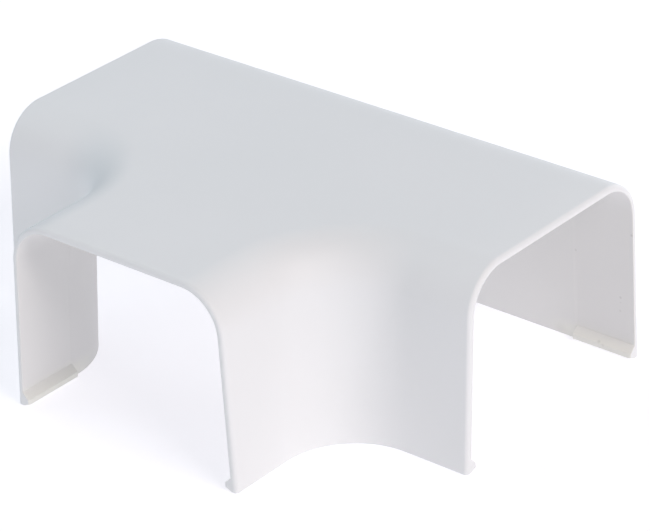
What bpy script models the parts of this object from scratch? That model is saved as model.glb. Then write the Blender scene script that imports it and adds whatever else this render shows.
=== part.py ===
"""Trunking tee fitting: a one-piece moulded PVC cover that joins three lengths of surface duct.

The straight run lies along X, the branch leaves towards -Y, and +Z points away from the wall.
Three walls stand round the channels: one straight wall behind the run, and on each side of the
branch a wall that follows the run, sweeps round the throat and follows the branch. All of them
carry the same section, which leans in a little and rolls over into a flat roof. One half is
made, from the middle of the run to its right end, and a mirror gives the other.
"""
import math

import bmesh
import bpy
from mathutils import Vector

# The duct that the fitting covers
DUCT_WIDTH = 0.080          # across its foot
DUCT_HEIGHT = 0.060         # from the wall to its lid
ROOF_CLEARANCE = 0.0003     # between its lid and the roof of a socket

# The shell
SOCKET_WALL = 0.0020        # thickness where the duct slides in
SHOULDER = 0.0002           # extra thickness behind a socket, where the duct comes to a stop
SHOULDER_RAMP = 0.0007      # length of the slope on which the wall thickens
ARM_LENGTH = 0.0875         # from the crossing of the centre lines to each opening
CORNER_RADIUS = 0.0145      # outside, where the walls roll over into the roof
THROAT_RADIUS = 0.0235      # outside, in plan at the foot, between run and branch
SHOULDER_TO_THROAT = 0.0005  # from the end of the slope to the start of the curve
DRAFT = math.radians(2.6)   # lean of the walls, which lets the part leave its mould

# Edges
RIM_RADIUS = 0.0013         # round outer edge of each opening
RIM_LIFT = 0.0003           # how far that rounding lifts the foot and draws in the lips
RIM_BREAK = 0.0002          # small inner edge of each opening, where the duct enters
FOOT_BEVEL = 0.0004         # outer edge along the foot of the walls
FLAT_BAND = 0.0006          # narrow flat strips beside the round stretches

# The snap lips, ridges along the foot of the walls inside each socket
LIP_REACH = 0.0024          # how far a lip stands in from the wall
LIP_LEAD = 0.0009           # rise of its underside, which spreads the walls as it is pushed on
LIP_HEIGHT = 0.0025         # from the foot to the upper edge of its upright tip
LIP_SLOPE = 0.0021          # rise of the slope above it, which holds the duct and lets it off again

# Steps of the round stretches
CORNER_STEPS = 16
THROAT_STEPS = 20
RIM_STEPS = 4
SMOOTH_ANGLE = math.radians(35)

# What follows from those
HALF_WIDTH = DUCT_WIDTH / 2 + SOCKET_WALL
HEIGHT = DUCT_HEIGHT + ROOF_CLEARANCE + SOCKET_WALL
HUB_WALL = SOCKET_WALL + SHOULDER
HUB_DEPTH = ARM_LENGTH - HALF_WIDTH - THROAT_RADIUS - SHOULDER_TO_THROAT
SOCKET_DEPTH = HUB_DEPTH - SHOULDER_RAMP
LIP_ROOT = LIP_HEIGHT + LIP_SLOPE
CORNER_INSET = (CORNER_RADIUS + (HEIGHT - CORNER_RADIUS) * math.sin(DRAFT)) / math.cos(DRAFT)
FOOTPRINT_SHIFT = (ARM_LENGTH - HALF_WIDTH) / 2


def wall_inset(offset, height):
    """How far a wall's face is inside the outer foot line, for a skin that lies offset deep."""
    return offset / math.cos(DRAFT) + height * math.tan(DRAFT)


def foot_lift(rounding):
    """How far the foot is lifted beside an opening, where the outer skin is drawn in by rounding."""
    return rounding * RIM_LIFT / RIM_RADIUS


def upper_profile(offset):
    """A skin from just below the roundover to just past it, as (inset, height) points."""
    radius = CORNER_RADIUS - offset
    centre_height = HEIGHT - CORNER_RADIUS
    band_height = centre_height + radius * math.sin(DRAFT) - FLAT_BAND
    points = [(wall_inset(offset, band_height), band_height)]
    for step in range(CORNER_STEPS + 1):
        angle = DRAFT + (math.pi / 2 - DRAFT) * step / CORNER_STEPS
        inset = CORNER_INSET - radius * math.cos(angle)
        points.append((inset, centre_height + radius * math.sin(angle)))
    points.append((CORNER_INSET + FLAT_BAND, HEIGHT - offset))
    return points


def outer_profile(rounding):
    """The outer skin from its foot up, drawn in by rounding beside an opening."""
    lift = foot_lift(rounding)
    bevel = FOOT_BEVEL * (1 - rounding / SOCKET_WALL)
    foot = (wall_inset(rounding, lift) + bevel, lift)
    above = (wall_inset(rounding, lift + bevel), lift + bevel)
    return [foot, above] + upper_profile(rounding)


def inner_profile(thickness, lift):
    """The inner skin from its foot up."""
    foot = (wall_inset(thickness, lift), lift)
    root = (wall_inset(thickness, LIP_ROOT), LIP_ROOT)
    return [foot, root] + upper_profile(thickness)


def lip_profile(lift):
    """A lip between the inner skin's foot and its root, drawn in by lift beside an opening."""
    tip = wall_inset(SOCKET_WALL, 0) + LIP_REACH - lift
    return [(tip, lift + LIP_LEAD), (tip, LIP_HEIGHT)]


class Place:
    """A point on a wall's outer foot line, and the direction from it into the channel."""

    def __init__(self, x, y, inward_x, inward_y):
        self.foot = Vector((x, y, 0))
        self.inward = Vector((inward_x, inward_y, 0))

    def stand(self, bm, profile):
        """Stands a profile on the foot line, as new vertices."""
        return [bm.verts.new(self.foot + self.inward * inset + Vector((0, 0, height)))
                for inset, height in profile]


def run_places(depth):
    """The front and the back wall of the run, at a depth inside its right opening."""
    x = ARM_LENGTH - depth
    return [Place(x, -HALF_WIDTH, 0, 1), Place(x, HALF_WIDTH, 0, -1)]


def branch_places(depth):
    """The branch's right wall, at a depth inside its opening."""
    return [Place(HALF_WIDTH, depth - ARM_LENGTH, -1, 0)]


def throat_place(turn):
    """A place round the throat, from the branch at turn 0 to the run at turn 1."""
    angle = math.pi - turn * math.pi / 2
    inward = Vector((math.cos(angle), math.sin(angle)))
    centre = Vector((HALF_WIDTH + THROAT_RADIUS, -HALF_WIDTH - THROAT_RADIUS))
    point = centre + inward * THROAT_RADIUS
    return Place(point.x, point.y, inward.x, inward.y)


class Wall:
    """The vertices of one wall where it is cut across."""

    def __init__(self, bm, place, thickness, rounding=0.0):
        self.outer = place.stand(bm, outer_profile(rounding))
        self.inner = place.stand(bm, inner_profile(thickness, foot_lift(rounding)))
        self.lip = []

    def outline(self):
        """Down outside, across the foot and up inside."""
        return self.outer[::-1] + self.inner

    def outline_with_lip(self):
        """The same, but round the lip between the foot and the root."""
        return self.outer[::-1] + self.inner[:1] + self.lip + self.inner[1:]


class Section:
    """The part cut across: its walls, and the roof between them or up to the mirror's plane."""

    def __init__(self, bm, places, thickness, rounding=0.0):
        self.walls = [Wall(bm, place, thickness, rounding) for place in places]
        self.roof = None
        if len(places) == 1:
            y = places[0].foot.y
            self.roof = {"outer": bm.verts.new((0, y, HEIGHT - rounding)),
                         "inner": bm.verts.new((0, y, HEIGHT - thickness))}

    def add_lips(self, bm, places, lift=0.0):
        """Gives each wall the vertices of its lip."""
        for wall, place in zip(self.walls, places):
            wall.lip = place.stand(bm, lip_profile(lift))

    def close_lips(self, bm):
        """The flat end of each lip."""
        for wall in self.walls:
            bm.faces.new(wall.inner[:1] + wall.lip + wall.inner[1:2])

    def skin(self, name):
        """One skin's vertices, from the first wall's foot over the roof."""
        first = getattr(self.walls[0], name)
        if self.roof:
            return first + [self.roof[name]]
        return first + getattr(self.walls[1], name)[::-1]

    def outline(self, with_lips=False):
        """The vertices all round the section."""
        lines = [wall.outline_with_lip() if with_lips else wall.outline() for wall in self.walls]
        if self.roof:
            return [self.roof["outer"]] + lines[0] + [self.roof["inner"]]
        return lines[0] + lines[1][::-1] + lines[0][:1]


def bridge(bm, first, second):
    """Fills the strip between two rows of vertices that have the same length."""
    for index in range(len(first) - 1):
        bm.faces.new((first[index], first[index + 1], second[index + 1], second[index]))


def make_rim(bm, places_at):
    """The sections of an opening's rounded edge, from the very end inwards."""
    sections = []
    for step in range(RIM_STEPS + 1):
        angle = math.pi / 2 * (1 - step / RIM_STEPS)
        places = places_at(RIM_RADIUS * (1 - math.sin(angle)))
        rounding = RIM_RADIUS * (1 - math.cos(angle))
        thickness = SOCKET_WALL if sections else SOCKET_WALL - RIM_BREAK
        section = Section(bm, places, thickness, rounding)
        section.add_lips(bm, places, foot_lift(rounding))
        sections.append(section)
    return sections


def make_socket(bm, places_at):
    """One opening with its rim, lips and shoulder. Returns the hub's section behind it."""
    rim = make_rim(bm, places_at)
    bridge(bm, rim[0].skin("outer"), rim[0].skin("inner"))
    rim[0].close_lips(bm)

    end = Section(bm, places_at(SOCKET_DEPTH), SOCKET_WALL)
    end.add_lips(bm, places_at(SOCKET_DEPTH))
    end.close_lips(bm)
    for first, second in zip(rim, rim[1:] + [end]):
        bridge(bm, first.outline(with_lips=True), second.outline(with_lips=True))

    hub = Section(bm, places_at(HUB_DEPTH), HUB_WALL)
    bridge(bm, end.outline(), hub.outline())
    return hub


def make_half():
    """The right half of the fitting, open on the mirror's plane."""
    bm = bmesh.new()
    run = make_socket(bm, run_places)
    branch = make_socket(bm, branch_places)
    front, back = run.walls

    throat = [Wall(bm, throat_place(step / THROAT_STEPS), HUB_WALL)
              for step in range(THROAT_STEPS + 1)]
    swept = branch.walls + throat + [front]
    middle = Wall(bm, run_places(ARM_LENGTH)[1], HUB_WALL)
    for first, second in list(zip(swept, swept[1:])) + [(back, middle)]:
        bridge(bm, first.outline(), second.outline())

    for skin in ("outer", "inner"):
        edge = [getattr(wall, skin)[-1] for wall in swept + [back, middle]]
        bm.faces.new([branch.roof[skin]] + edge)

    bmesh.ops.recalc_face_normals(bm, faces=bm.faces)
    mesh = bpy.data.meshes.new("tee_cover")
    bm.to_mesh(mesh)
    bm.free()
    return mesh


def make_material():
    """White rigid PVC as it leaves a polished mould."""
    material = bpy.data.materials.new("white_pvc")
    material.use_nodes = True
    shader = material.node_tree.nodes["Principled BSDF"]
    shader.inputs["Base Color"].default_value = (0.80, 0.81, 0.82, 1)
    shader.inputs["Roughness"].default_value = 0.35
    shader.inputs["Metallic"].default_value = 0.0
    return material


def main():
    """Clears the scene and makes the fitting."""
    for old in list(bpy.data.objects):
        bpy.data.objects.remove(old)
    mesh = make_half()
    mesh.materials.append(make_material())
    mesh.shade_smooth()
    mesh.set_sharp_from_angle(angle=SMOOTH_ANGLE)
    tee = bpy.data.objects.new("tee_cover", mesh)
    tee.location = (0, FOOTPRINT_SHIFT, 0)
    bpy.context.scene.collection.objects.link(tee)
    mirror = tee.modifiers.new("other_half", "MIRROR")
    mirror.use_axis = (True, False, False)
    mirror.merge_threshold = 0.00001


main()
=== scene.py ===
# %% [markdown]
# # A trunking tee in white PVC
#
# Surface trunking hides pipes and cables along a wall. Where three lengths of it meet, a tee cover
# is pushed over their ends: one thin shell of moulded PVC, open at its foot and at its three ends.
# This lesson gives that shell the fine skin, the plastic and the light of a catalogue picture.
#
# The fitting's solid model is already there. It is loaded first, as the frame that everything else
# is built in: metres, +X along the run, -Y out of the branch, +Z away from the wall.

import math

import bmesh
import bpy
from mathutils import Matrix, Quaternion, Vector


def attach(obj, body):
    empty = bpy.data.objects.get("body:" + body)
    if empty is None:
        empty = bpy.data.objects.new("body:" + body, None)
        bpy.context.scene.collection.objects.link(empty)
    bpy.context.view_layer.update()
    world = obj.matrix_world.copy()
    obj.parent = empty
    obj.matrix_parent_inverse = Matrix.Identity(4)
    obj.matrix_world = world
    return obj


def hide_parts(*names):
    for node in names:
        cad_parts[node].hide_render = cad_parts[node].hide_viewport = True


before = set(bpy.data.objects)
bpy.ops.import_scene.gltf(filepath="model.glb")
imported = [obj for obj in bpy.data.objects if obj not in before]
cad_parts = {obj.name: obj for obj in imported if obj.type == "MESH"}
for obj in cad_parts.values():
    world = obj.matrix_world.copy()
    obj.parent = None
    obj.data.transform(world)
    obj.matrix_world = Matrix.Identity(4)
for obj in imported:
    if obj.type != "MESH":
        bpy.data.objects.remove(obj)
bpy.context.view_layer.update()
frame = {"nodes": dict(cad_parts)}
print("solid nodes:", ", ".join(frame["nodes"]))

# %% [markdown]
# ## Camera
#
# A catalogue picture of a long object is taken from well back with a long lens, so that its far end
# doesn't shrink much. The camera could be aimed by hand, but it is easier to repeat when it is
# given as a photographer would say it: which way round the object, how high, how far, and how much
# the camera is tilted on its tripod.

# %% Place the camera
MM = 0.001                          # a millimetre in metres
AIM = Vector((6.61, 18.28, 25.0)) * MM
AZIMUTH = 40.30                     # degrees; 0 looks along +Y, 90 along -X
ELEVATION = 28.23
DISTANCE = 1000.1 * MM
TILT = math.radians(-2.05)
FOCAL_LENGTH = 186.84               # mm
SENSOR_WIDTH = 36                   # mm, full frame


def towards(azimuth, elevation):
    """The direction from the fitting to a place round it. Azimuth 0 is -Y and 90 is +X."""
    turn, rise = math.radians(azimuth), math.radians(elevation)
    return Vector((math.sin(turn) * math.cos(rise),
                   -math.cos(turn) * math.cos(rise),
                   math.sin(rise)))


back = towards(AZIMUTH, ELEVATION)
camera = bpy.data.objects.new("camera", bpy.data.cameras.new("camera"))
camera.data.lens = FOCAL_LENGTH
camera.data.sensor_width = SENSOR_WIDTH
camera.rotation_mode = "QUATERNION"
camera.location = AIM + back * DISTANCE
camera.rotation_quaternion = (-back).to_track_quat("-Z", "Y") @ Quaternion((0, 0, 1), TILT)
bpy.context.scene.collection.objects.link(camera)
bpy.context.scene.camera = camera
print("camera at", [round(1000 * c) for c in camera.location], "mm")

# %% [markdown]
# ## The sizes of the shell
#
# A moulded shell is ruled by a few sizes: the duct that it covers, its wall, the rounding of its
# corners, and the lean that lets it slide out of its mould. They are written once, in millimetres,
# and everything below is worked out from them.

# %% Sizes in millimetres
HALF_WIDTH = 42.0                 # from a channel's centre line to its outer foot
HEIGHT = 62.3
SOCKET_WALL = 2.0                 # where the duct slides in
HUB_WALL = 2.2                    # behind the sockets, where the duct comes to a stop
ARM_LENGTH = 87.5                 # from the crossing of the centre lines to each opening
CORNER_RADIUS = 14.5              # where the walls roll over into the roof
THROAT_RADIUS = 23.5              # in plan, between run and branch
LEAN = math.radians(2.6)
RIM_RADIUS = 1.3                  # outer edge of each opening
RIM_LIFT = 0.3                    # how far that rounding lifts the foot and draws in the lips
RIM_BREAK = 0.2                   # inner edge of each opening
FOOT_RADIUS = 0.4                 # outer edge of the foot
SOCKET_DEPTH = 20.8               # from an opening to the inner end of its lips
HUB_DEPTH = 21.5                  # from an opening to where the wall has thickened
SHOULDER_TO_THROAT = 0.5          # from there to the start of the throat
FLAT_BAND = 0.6                   # flat strips beside a bend keep its shading off the wide faces

CORNER_STEPS = 40                 # flat pieces in each round stretch
THROAT_STEPS = 48
RIM_STEPS = 12
EDGE_STEPS = 4

CORNER_INSET = (CORNER_RADIUS + (HEIGHT - CORNER_RADIUS) * math.sin(LEAN)) / math.cos(LEAN)
RUN_CENTRE = (ARM_LENGTH - HALF_WIDTH) / 2    # from the middle of the footprint, along Y
print("the roundover starts", round(HEIGHT - CORNER_RADIUS, 1), "mm above the foot")

# %% [markdown]
# ## The section
#
# Cut a wall of the shell across and the same line shows everywhere: up the wall, round the corner
# and on to the roof. The line is given as points of (inset, height), where inset is how far a point
# is inside the outer foot. One function serves both skins, because the inner skin is the outer one
# moved in by the wall's thickness: its radius is smaller by just that much, so the wall is as thick
# round the corner as it is elsewhere.

# %% Draw the section's two skins
def wall_inset(offset, height):
    """How far inside the outer foot a wall's face is, for a skin that lies offset deep."""
    return offset / math.cos(LEAN) + height * math.tan(LEAN)


def upper_profile(offset):
    """A skin from just below the roundover to just past it."""
    radius = CORNER_RADIUS - offset
    centre_height = HEIGHT - CORNER_RADIUS
    band_height = centre_height + radius * math.sin(LEAN) - FLAT_BAND
    points = [(wall_inset(offset, band_height), band_height)]
    for step in range(CORNER_STEPS + 1):
        angle = LEAN + (math.pi / 2 - LEAN) * step / CORNER_STEPS
        points.append((CORNER_INSET - radius * math.cos(angle),
                       centre_height + radius * math.sin(angle)))
    points.append((CORNER_INSET + FLAT_BAND, HEIGHT - offset))
    return points


print("points in a skin's upper part:", len(upper_profile(0)))

# %% [markdown]
# ## Small round edges
#
# Molten plastic never fills a perfectly sharp corner, so every edge of a moulding is a little round
# and catches a thin line of light. A bevel modifier could round them, but beside the big roundover
# it meets edges shorter than its own width. Rounding the corners of the drawn line keeps full
# control.

# %% Round the corners of a bent line
def rounded(corners, steps=EDGE_STEPS):
    """A line of (inset, height, radius) corners with each corner swapped for an arc."""
    points = []
    for index, (inset, height, radius) in enumerate(corners):
        corner = Vector((inset, height))
        if radius == 0:
            points.append(tuple(corner))
            continue
        before = (Vector(corners[index - 1][:2]) - corner).normalized()
        after = (Vector(corners[index + 1][:2]) - corner).normalized()
        half = before.angle(after) / 2
        centre = corner + (before + after).normalized() * (radius / math.sin(half))
        start = corner + before * (radius / math.tan(half)) - centre
        end = corner + after * (radius / math.tan(half)) - centre
        for step in range(steps + 1):
            spoke = start.lerp(end, step / steps).normalized() * radius
            points.append(tuple(centre + spoke))
    return points


def foot_lift(rounding):
    """How far the foot is lifted beside an opening, where rounding draws the outer skin in."""
    return rounding * RIM_LIFT / RIM_RADIUS


def outer_profile(rounding):
    """The outer skin from its foot up, drawn in by rounding beside an opening."""
    lift = foot_lift(rounding)
    radius = FOOT_RADIUS * (1 - rounding / SOCKET_WALL)
    across = wall_inset(rounding, lift)
    band = lift + radius + FLAT_BAND
    foot = rounded([(across + 2 * radius, lift, 0),
                    (across, lift, radius),
                    (wall_inset(rounding, band), band, 0)])
    return foot[1:] + upper_profile(rounding)


print("points in the whole outer skin:", len(outer_profile(0)))

# %% [markdown]
# ## The snap lips
#
# Inside each socket a ridge runs along the foot of the wall. Pushed over the duct, the ridges
# spread the walls, slip past the duct's foot and hold it. The sloping underside does the spreading.
# The steeper slope above the upright tip holds the duct, and lets the cover off again when it is
# pulled hard.

# %% Draw the inner skin and the lip
LIP_REACH = 2.4
LIP_LEAD = 0.9                    # rise of the underside
LIP_HEIGHT = 2.5                  # upper edge of the upright tip
LIP_SLOPE = 2.1                   # rise of the slope above it
LIP_EDGE = 0.25
LIP_ROOT = LIP_HEIGHT + LIP_SLOPE


def inner_profile(thickness, lift):
    """The inner skin from its foot up, past the lip's root."""
    heights = (lift, LIP_ROOT, LIP_ROOT + FLAT_BAND)
    foot = [(wall_inset(thickness, height), height) for height in heights]
    return foot + upper_profile(thickness)


def lip_profile(thickness, lift):
    """The lip between the inner skin's foot and its root, drawn in by lift beside an opening."""
    tip = wall_inset(SOCKET_WALL, 0) + LIP_REACH - lift
    line = rounded([(wall_inset(thickness, lift), lift, 0),
                    (tip, lift + LIP_LEAD, LIP_EDGE),
                    (tip, LIP_HEIGHT, LIP_EDGE),
                    (wall_inset(thickness, LIP_ROOT), LIP_ROOT, 0)])
    return line[1:-1]


print("points in a lip:", len(lip_profile(SOCKET_WALL, 0)))

# %% [markdown]
# ## Walls stand on a path
#
# Seen from above, the outer foot is a path: straight along the run, round the throat, straight
# along the branch. A place is one point of that path with the direction that leads into the
# channel, and the section is stood up on it. This is a loft made by hand. A curve with a bevel
# object could sweep the same section, but it couldn't change the section at the rims, lips and
# shoulders.

# %% Places on the path
def new_vertex(bm, point, core_side=0):
    """A vertex at a point in millimetres, marked with the side of the mould that shaped it."""
    vertex = bm.verts.new(point * MM)
    vertex[bm.verts.layers.int["core_side"]] = core_side
    return vertex


class Place:
    """A point on the outer foot and the direction from it into the channel."""

    def __init__(self, x, y, inward_x, inward_y):
        self.foot = Vector((x, y, 0))
        self.inward = Vector((inward_x, inward_y, 0))

    def stand(self, bm, profile, core_side=0):
        """Stands a profile here as new vertices, in metres."""
        return [new_vertex(bm, self.foot + self.inward * inset + Vector((0, 0, height)), core_side)
                for inset, height in profile]


def run_places(depth):
    """The run's front and back wall, at a depth inside its right opening."""
    x = ARM_LENGTH - depth
    return [Place(x, -HALF_WIDTH, 0, 1), Place(x, HALF_WIDTH, 0, -1)]


def branch_places(depth):
    """The branch's right wall, at a depth inside its opening."""
    return [Place(HALF_WIDTH, depth - ARM_LENGTH, -1, 0)]


def throat_place(turn):
    """A place round the throat, from the branch at turn 0 to the run at turn 1."""
    angle = math.pi - turn * math.pi / 2
    inward = Vector((math.cos(angle), math.sin(angle)))
    centre = Vector((HALF_WIDTH + THROAT_RADIUS, -HALF_WIDTH - THROAT_RADIUS))
    point = centre + inward * THROAT_RADIUS
    return Place(point.x, point.y, inward.x, inward.y)


print("the throat starts", ARM_LENGTH - HALF_WIDTH - THROAT_RADIUS, "mm behind each opening")

# %% [markdown]
# ## From walls to cross-sections
#
# A wall is its outer line, its inner line and the foot between them. A cross-section is one or two
# walls with the roof between them. Two neighbouring cross-sections with the same number of points
# are bridged by a strip of four-sided faces, which is all that a loft is.

# %% Walls, cross-sections and bridges
class Wall:
    """The vertices of one wall where it is cut across."""

    def __init__(self, bm, place, thickness, rounding=0.0):
        self.place = place
        self.thickness = thickness
        self.lift = foot_lift(rounding)
        self.outer = place.stand(bm, outer_profile(rounding))
        self.inner = place.stand(bm, inner_profile(thickness, self.lift), core_side=1)
        self.lip = []

    def add_lip(self, bm):
        """Adds the vertices of the lip."""
        self.lip = self.place.stand(bm, lip_profile(self.thickness, self.lift), core_side=1)

    def outline(self):
        """Down outside, across the foot and up inside."""
        return self.outer[::-1] + self.inner

    def outline_with_lip(self):
        """The same, but round the lip between the foot and the root."""
        return self.outer[::-1] + self.inner[:1] + self.lip + self.inner[1:]


class Section:
    """Walls, and the roof between them or up to the plane where the other half is mirrored."""

    def __init__(self, bm, places, thickness, rounding=0.0):
        self.walls = [Wall(bm, place, thickness, rounding) for place in places]
        self.roof = []
        if len(places) == 1:
            y = places[0].foot.y
            self.roof = [new_vertex(bm, Vector((0, y, HEIGHT - rounding))),
                         new_vertex(bm, Vector((0, y, HEIGHT - thickness)), core_side=1)]

    def add_lips(self, bm):
        """Adds the vertices of each wall's lip."""
        for wall in self.walls:
            wall.add_lip(bm)

    def outline(self, with_lips=False):
        """The vertices all round the section."""
        lines = [wall.outline_with_lip() if with_lips else wall.outline() for wall in self.walls]
        if self.roof:
            return self.roof[:1] + lines[0] + self.roof[1:]
        return lines[0] + lines[1][::-1] + lines[0][:1]


def bridge(bm, first, second):
    """Fills the strip between two rows of vertices that have the same length."""
    for index in range(len(first) - 1):
        bm.faces.new((first[index], first[index + 1], second[index + 1], second[index]))


# %% [markdown]
# ## A socket
#
# The outer edge of each opening is well rounded, which is what glints in a picture of such a
# fitting. The rounding is made of sections that start small at the very end and grow to full size
# 1.3 mm further in. Behind the lips the wall thickens a little on a short slope, where the duct
# stops.

# %% Build one opening
def rim_sections(bm, places_at):
    """The sections of a rounded rim, from the end of the part inwards."""
    sections = []
    for step in range(RIM_STEPS + 1):
        angle = math.pi / 2 * (1 - step / RIM_STEPS)
        depth = RIM_RADIUS * (1 - math.sin(angle))
        rounding = RIM_RADIUS * (1 - math.cos(angle))
        to_break_end = max(RIM_BREAK - depth, 0)
        thickness = SOCKET_WALL - RIM_BREAK + math.sqrt(RIM_BREAK ** 2 - to_break_end ** 2)
        sections.append(Section(bm, places_at(depth), thickness, rounding))
        sections[-1].add_lips(bm)
    return sections


def make_socket(bm, places_at):
    """One opening with rim, lips and shoulder. Returns the hub's section behind it."""
    sections = rim_sections(bm, places_at)
    edge = sections[0].outline(with_lips=True)
    bm.faces.new(edge[:-1] if edge[0] is edge[-1] else edge)

    for depth in (SOCKET_DEPTH - FLAT_BAND, SOCKET_DEPTH):
        sections.append(Section(bm, places_at(depth), SOCKET_WALL))
        sections[-1].add_lips(bm)
    for first, second in zip(sections, sections[1:]):
        bridge(bm, first.outline(with_lips=True), second.outline(with_lips=True))
    end = sections[-1]
    for wall in end.walls:
        bm.faces.new(wall.inner[:1] + wall.lip + wall.inner[1:2])

    start = Section(bm, places_at(HUB_DEPTH), HUB_WALL)
    hub = Section(bm, places_at(HUB_DEPTH + SHOULDER_TO_THROAT / 2), HUB_WALL)
    bridge(bm, end.outline(), start.outline())
    bridge(bm, start.outline(), hub.outline())
    return hub


# %% [markdown]
# ## The hub and its throats
#
# Between the sockets the walls sweep round a quarter circle, the throat. The roundover follows it,
# so the corner between wall and roof becomes part of a ring. This is the form that makes the
# fitting look moulded rather than folded. One half is built and a mirror gives the other.

# %% Build the half and mirror it
def make_half():
    """The right half of the shell, open on the mirror's plane."""
    bm = bmesh.new()
    core_side = bm.verts.layers.int.new("core_side")
    run = make_socket(bm, run_places)
    branch = make_socket(bm, branch_places)
    front, back_wall = run.walls

    throat = [Wall(bm, throat_place(step / THROAT_STEPS), HUB_WALL)
              for step in range(THROAT_STEPS + 1)]
    swept = branch.walls + throat + [front]
    middle = Wall(bm, run_places(ARM_LENGTH)[1], HUB_WALL)
    for first, second in list(zip(swept, swept[1:])) + [(back_wall, middle)]:
        bridge(bm, first.outline(), second.outline())
    ends = swept + [back_wall, middle]
    bm.faces.new([branch.roof[0]] + [wall.outer[-1] for wall in ends])
    bm.faces.new([branch.roof[1]] + [wall.inner[-1] for wall in ends])

    for face in bm.faces:
        face.material_index = min(vertex[core_side] for vertex in face.verts)
    bmesh.ops.recalc_face_normals(bm, faces=bm.faces)
    mesh = bpy.data.meshes.new("tee_skin")
    bm.to_mesh(mesh)
    bm.free()
    return mesh


SMOOTH_ANGLE = math.radians(32)       # edges that bend less than this are shaded smooth
MERGE_DISTANCE = 0.01 * MM            # the halves share their vertices on the mirror's plane

tee_mesh = make_half()
tee_mesh.shade_smooth()
tee_mesh.set_sharp_from_angle(angle=SMOOTH_ANGLE)
tee = bpy.data.objects.new("tee_skin", tee_mesh)
tee.location = (0, RUN_CENTRE * MM, 0)
bpy.context.scene.collection.objects.link(tee)
mirror = tee.modifiers.new("other_half", "MIRROR")
mirror.merge_threshold = MERGE_DISTANCE
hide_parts("tee_cover")
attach(tee, "root")
print("faces in one half:", len(tee_mesh.polygons))

# %% [markdown]
# ## The plastic
#
# Trunking is rigid PVC coloured with white pigment and moulded in steel. The hollow half of the
# mould shapes the outside and is polished to a fine satin: light spreads over it in a soft glow,
# and only the rims turn enough to catch a line of it. The core that shapes the inside is left a
# little duller, and the inside's copy of the plastic is given darker tones as painted shade, for
# the shade under the roof. First come the tools: one function for colours, one that adds a node,
# and three short ones for what is needed again and again, a mix of two colours, a smooth fade and
# random waves.

# %% Tools for materials
COLOUR_A, COLOUR_B, COLOUR_OUT = 6, 7, 2    # numbers of a mix node's colour sockets


def linear(hex_colour):
    """An sRGB hex colour as linear red, green and blue, with full alpha."""
    values = [int(hex_colour[i:i + 2], 16) / 255 for i in (1, 3, 5)]
    return tuple(v / 12.92 if v <= 0.04045 else ((v + 0.055) / 1.055) ** 2.4 for v in values) + (1,)


def add(tree, kind, settings=None, links=None):
    """Adds a node, sets its values, and links sockets to it."""
    node = tree.nodes.new(kind)
    for name, value in (settings or {}).items():
        if isinstance(name, str) and hasattr(node, name):
            setattr(node, name, value)
        else:
            node.inputs[name].default_value = value
    for name, socket in (links or {}).items():
        tree.links.new(socket, node.inputs[name])
    return node


def new_material(name):
    """An empty material and its node tree."""
    material = bpy.data.materials.new(name)
    material.use_nodes = True
    material.node_tree.nodes.clear()
    return material, material.node_tree


def mix_towards(tree, base, hex_colour, factor):
    """A colour socket mixed towards a fixed colour, which it reaches at a factor of 1."""
    mix = add(tree, "ShaderNodeMix", {"data_type": "RGBA", COLOUR_B: linear(hex_colour)},
              {"Factor": factor, COLOUR_A: base})
    return mix.outputs[COLOUR_OUT]


def fade(tree, value, start, end, first, last):
    """Goes smoothly from first to last while a value goes from start to end."""
    ramp = add(tree, "ShaderNodeMapRange",
               {"interpolation_type": "SMOOTHSTEP", "From Min": start, "From Max": end,
                "To Min": first, "To Max": last}, {"Value": value})
    return ramp.outputs["Result"]


def waves(tree, place, spacing, detail=1.0):
    """Smooth random waves whose humps are some millimetres apart."""
    noise = add(tree, "ShaderNodeTexNoise", {"Scale": 1 / (spacing * MM), "Detail": detail},
                {"Vector": place})
    return noise.outputs["Fac"]


print("white PVC, linear:", [round(v, 3) for v in linear("#EBECED")[:3]])

# %% [markdown]
# ## Marks on the plastic
#
# A clean new moulding isn't quite perfect. Burnt specks of resin sit in the surface as faint dark
# dots about a millimetre across, and the snap lip is a little darker where it was pulled off the
# core. One wide, faint mark darkens the foot of the wall just behind the inner end of a lip.
# Each mark is a soft ball round a point: where the ball cuts the surface, it shows as a spot.
# The points are in millimetres from the crossing of the centre lines, at the foot.

# %% The places of the marks
SPECKS = [                        # x, y, z and radius in mm, strength
    (66.9, 38.6, 30.5, 0.55, 0.15),
    (87.0, 38.1, 41.7, 0.60, 0.20),
    (82.7, 39.1, 19.4, 0.60, 0.18),
    (82.7, 39.2, 17.7, 0.45, 0.08),
    (82.5, 39.3, 14.8, 0.55, 0.12),
    (75.9, 38.0, 2.8, 0.80, 0.15),
    (77.6, 37.6, 2.2, 0.70, 0.12),
    # wide and faint: darker at the foot, just behind the inner end of the lip
    (60.8, 39.7, 1.1, 3.20, 0.05),
]
SPECK_CORE = 0.2                  # share of a mark's radius that has its full strength


def combine(tree, operation, first, second):
    """The product, maximum or another joint value of two sockets."""
    return add(tree, "ShaderNodeMath", {"operation": operation},
               {0: first, 1: second}).outputs["Value"]


def spots(tree, place, marks):
    """A mask of soft spots, each with its own strength."""
    masks = []
    for x, y, z, radius, strength in marks:
        middle = (x * MM, y * MM, z * MM)
        away = add(tree, "ShaderNodeVectorMath", {"operation": "DISTANCE", 1: middle}, {0: place})
        masks.append(fade(tree, away.outputs["Value"], SPECK_CORE * radius * MM, radius * MM,
                          strength, 0))
    whole = masks[0]
    for mask in masks[1:]:
        whole = combine(tree, "MAXIMUM", whole, mask)
    return whole


print("marks:", len(SPECKS))
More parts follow.
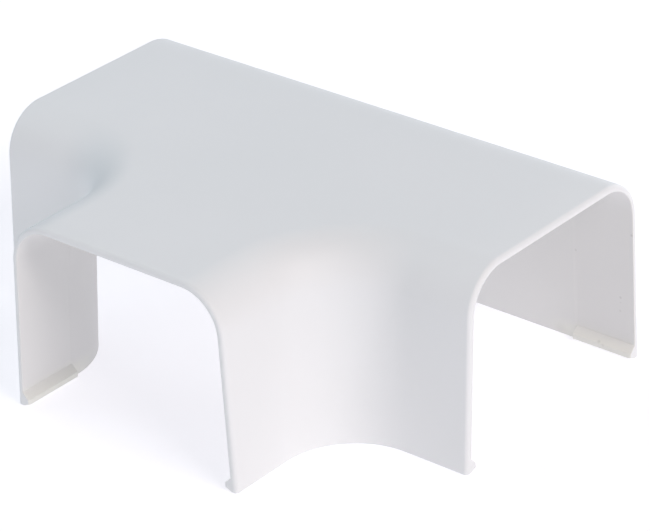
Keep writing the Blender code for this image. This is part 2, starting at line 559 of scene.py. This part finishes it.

# %% [markdown]
# ## Two finishes of one PVC
#
# Moulded PVC has faint marks of its making. Its tone drifts over some centimetres as the melt
# flowed. The lips inside are painted a trace lighter and yellower, as painted light on their
# slopes. The surface is a touch wavy because it shrank while it cooled, and it copies the fine
# grain of the steel. A slow wave mixes two close tones into the colour, and the waviness and the
# grain are bumps, a few thousandths of a millimetre high.

# %% Mix the PVC
TONE_SPACING = 45                 # mm between the humps of each kind of wave
POLISH_SPACING = 14
WAVY_SPACING = 11
GRAIN_SPACING = 0.7
WAVY_HEIGHT = 0.006               # mm
POLISH_CHANGE = 0.04              # how far the roughness drifts up and down
PVC_IOR = 1.53
BURNT_RESIN = "#5C544C"
# where the lips' painted light fades out up the wall, and where it fades in along it
LIP_LIGHT_HEIGHTS = (2, 7)              # mm, where the lips' tone fades away up the wall
LIP_LIGHT_DISTANCES = (66, 78)          # mm from the crossing, where it fades in along the wall


def lip_painted_light_mask(tree, place):
    """1 where the lips get painted light: low on the walls, and far from the crossing of run and
    branch.
    """
    height = add(tree, "ShaderNodeSeparateXYZ", links={0: place}).outputs["Z"]
    low, high = (limit * MM for limit in LIP_LIGHT_HEIGHTS)
    beside_foot = fade(tree, height, low, high, 1, 0)

    plan = add(tree, "ShaderNodeVectorMath", {"operation": "MULTIPLY", 1: (1, 1, 0)}, {0: place})
    away = add(tree, "ShaderNodeVectorMath", {"operation": "LENGTH"}, {0: plan.outputs["Vector"]})
    near, far = (limit * MM for limit in LIP_LIGHT_DISTANCES)
    in_socket = fade(tree, away.outputs["Value"], near, far, 0, 1)
    return combine(tree, "MULTIPLY", beside_foot, in_socket)


def moulded_pvc(name, light_tone, dark_tone, roughness, grain_height, lip_painted_light_tone=None):
    """White rigid PVC from one side of the mould. Heights are in millimetres."""
    pvc, tree = new_material(name)
    place = add(tree, "ShaderNodeTexCoord").outputs["Object"]

    drift = add(tree, "ShaderNodeMix",
                {"data_type": "RGBA", COLOUR_A: linear(dark_tone), COLOUR_B: linear(light_tone)},
                {"Factor": waves(tree, place, TONE_SPACING, detail=2)})
    colour = drift.outputs[COLOUR_OUT]
    # painted light: the lips are mixed lighter and yellower
    if lip_painted_light_tone:
        colour = mix_towards(tree, colour, lip_painted_light_tone, lip_painted_light_mask(tree, place))
    colour = mix_towards(tree, colour, BURNT_RESIN, spots(tree, place, SPECKS))

    polish = add(tree, "ShaderNodeMapRange",
                 {"To Min": roughness - POLISH_CHANGE, "To Max": roughness + POLISH_CHANGE},
                 {"Value": waves(tree, place, POLISH_SPACING, detail=3)})
    wavy = add(tree, "ShaderNodeBump", {"Strength": 1.0, "Distance": WAVY_HEIGHT * MM},
               {"Height": waves(tree, place, WAVY_SPACING)})
    grain = add(tree, "ShaderNodeBump", {"Strength": 1.0, "Distance": grain_height * MM},
                {"Height": waves(tree, place, GRAIN_SPACING, detail=2),
                 "Normal": wavy.outputs["Normal"]})
    shader = add(tree, "ShaderNodeBsdfPrincipled", {"IOR": PVC_IOR},
                 {"Base Color": colour, "Roughness": polish.outputs["Result"],
                  "Normal": grain.outputs["Normal"]})
    add(tree, "ShaderNodeOutputMaterial", links={"Surface": shader.outputs["BSDF"]})
    return pvc


tee_mesh.materials.append(moulded_pvc("moulded_rigid_pvc_white_polished", "#EBECED", "#E7E9EA",
                                      roughness=0.58, grain_height=0.001))
# the inside: its darker tones are painted shade for the shade under the roof
tee_mesh.materials.append(moulded_pvc("moulded_rigid_pvc_white_core_side_painted_shade", "#E5E4E3", "#E0E0DF",
                                      roughness=0.62, grain_height=0.003, lip_painted_light_tone="#E9E9E3"))
print("materials:", [material.name for material in tee_mesh.materials])

# %% [markdown]
# ## Table
#
# The picture was taken on pure white. White paper alone would show grey shadows beside the fitting,
# so the floor is a sheet of opal acrylic lit from below, as catalogue studios use: it glows evenly,
# fills in the shadows and throws light up under the part.

# %% Lay the glowing table
HALF_SIDE = 20.0                  # metres
GLOW = 0.68                       # strength of the light that comes through the sheet
CORNERS = [(-1, -1), (1, -1), (1, 1), (-1, 1)]
floor_mesh = bpy.data.meshes.new("floor")
floor_mesh.from_pydata([(x * HALF_SIDE, y * HALF_SIDE, 0) for x, y in CORNERS], [], [(0, 1, 2, 3)])
floor = bpy.data.objects.new("floor", floor_mesh)
bpy.context.scene.collection.objects.link(floor)
acrylic, tree = new_material("opal_acrylic_lit_from_below")
shader = add(tree, "ShaderNodeBsdfPrincipled",
             {"Base Color": linear("#B8B8B8"), "Roughness": 0.9, "Specular IOR Level": 0.0,
              "Emission Color": linear("#F9F8FF"), "Emission Strength": GLOW})
add(tree, "ShaderNodeOutputMaterial", links={"Surface": shader.outputs["BSDF"]})
floor_mesh.materials.append(acrylic)
print("table:", 2 * HALF_SIDE, "m wide")

# %% [markdown]
# ## Light
#
# White on white is modelled by light alone. One large softbox, well back on the right and 40
# degrees up, does most of the work: the branch's wall and the rims that face it become the
# brightest things in the picture, and the wall sweeps from light to shade round the throat. It
# stands twice as far away as the others, so that the roof has one even tone from end to end. A
# softbox on the left and one behind lift the far side, and a weak one in front opens the insides.
# They aren't all quite white: the one on the right is a little warm and the others are cool, which
# is why the shades of the plastic differ in colour.

# %% Hang the softboxes
LIGHTS = [      # name, azimuth and elevation in degrees, distance and size in m, watts, colour
    ("right", 83, 40, 3.0, 1.6, 60.4, "#FFF7F6"),
    ("left", 270, 45, 1.5, 1.7, 12.2, "#E7F5FF"),
    ("behind", 180, 15, 1.5, 0.8, 9.4, "#F0F7FF"),
    ("front", 0, 15, 1.5, 0.8, 2.5, "#F5FAFF"),
]
ROOM_LIGHT = 0.1                  # even light from all round

for name, azimuth, elevation, distance, size, watts, colour in LIGHTS:
    direction = towards(azimuth, elevation)
    light = bpy.data.lights.new(name, "AREA")
    light.size = size
    light.energy = watts
    light.color = linear(colour)[:3]
    softbox = bpy.data.objects.new(name, light)
    softbox.location = AIM + direction * distance
    softbox.rotation_mode = "QUATERNION"
    softbox.rotation_quaternion = direction.to_track_quat("Z", "Y")
    bpy.context.scene.collection.objects.link(softbox)

world = bpy.data.worlds.new("studio")
world.use_nodes = True
room = world.node_tree.nodes["Background"]
room.inputs["Color"].default_value = linear("#FFFFFF")
room.inputs["Strength"].default_value = ROOM_LIGHT
bpy.context.scene.world = world
bpy.context.scene.view_settings.view_transform = "Standard"
print("softboxes:", [row[0] for row in LIGHTS])

# %% Finish
bpy.context.view_layer.update()
